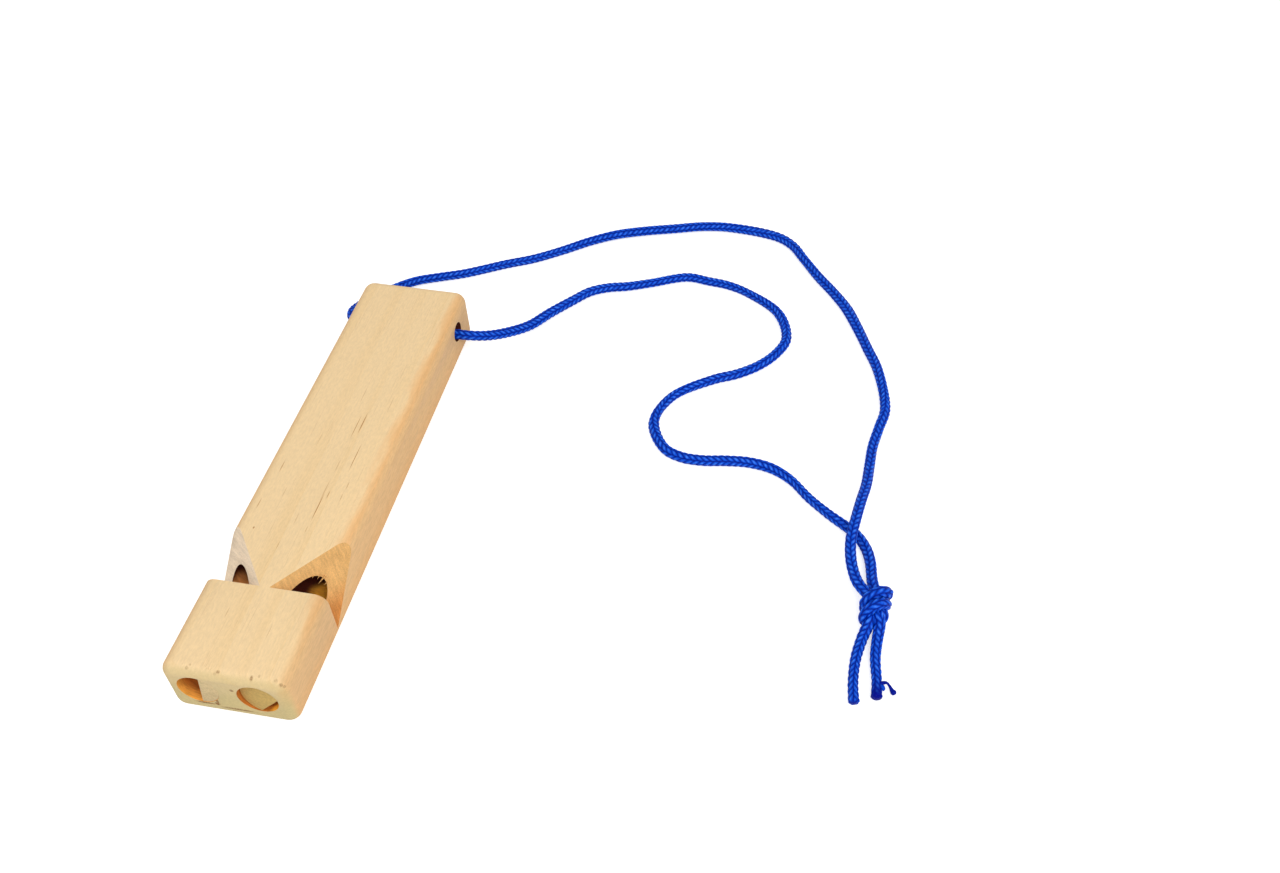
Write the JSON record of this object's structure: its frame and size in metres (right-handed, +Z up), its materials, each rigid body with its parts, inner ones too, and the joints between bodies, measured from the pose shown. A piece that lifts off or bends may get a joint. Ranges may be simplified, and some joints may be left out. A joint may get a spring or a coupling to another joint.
{
  "type": "wooden whistle",
  "caption": "Flat wooden whistle with side-by-side bores, corner sound windows, dowel plugs and a braided neck cord tied in an overhand knot.",
  "frame": {"origin": "centre of the wooden block's footprint, on the surface it lies on", "axes": "+Y from the mouth end to the tail end, +Z up out of the top face that the windows cut into, +X to the right seen from above with the mouth towards the viewer"},
  "size_m": [0.1529, 0.1823, 0.015],
  "materials": {
    "pine": "bare sanded pine, matt",
    "pine_end_grain": "bare end grain, matt",
    "blue_nylon": "braided cord, slight sheen"
  },
  "bodies": {
    "root": {"whistle_body": "pine", "left_plug": "pine_end_grain", "right_plug": "pine_end_grain", "cord_hole_stretch": "blue_nylon", "cord_left_bend": "blue_nylon", "cord_left_run": "blue_nylon", "cord_right_run": "blue_nylon", "cord_knot": "blue_nylon", "cord_left_tail": "blue_nylon", "cord_right_tail": "blue_nylon"}
  },
  "joints": []
}
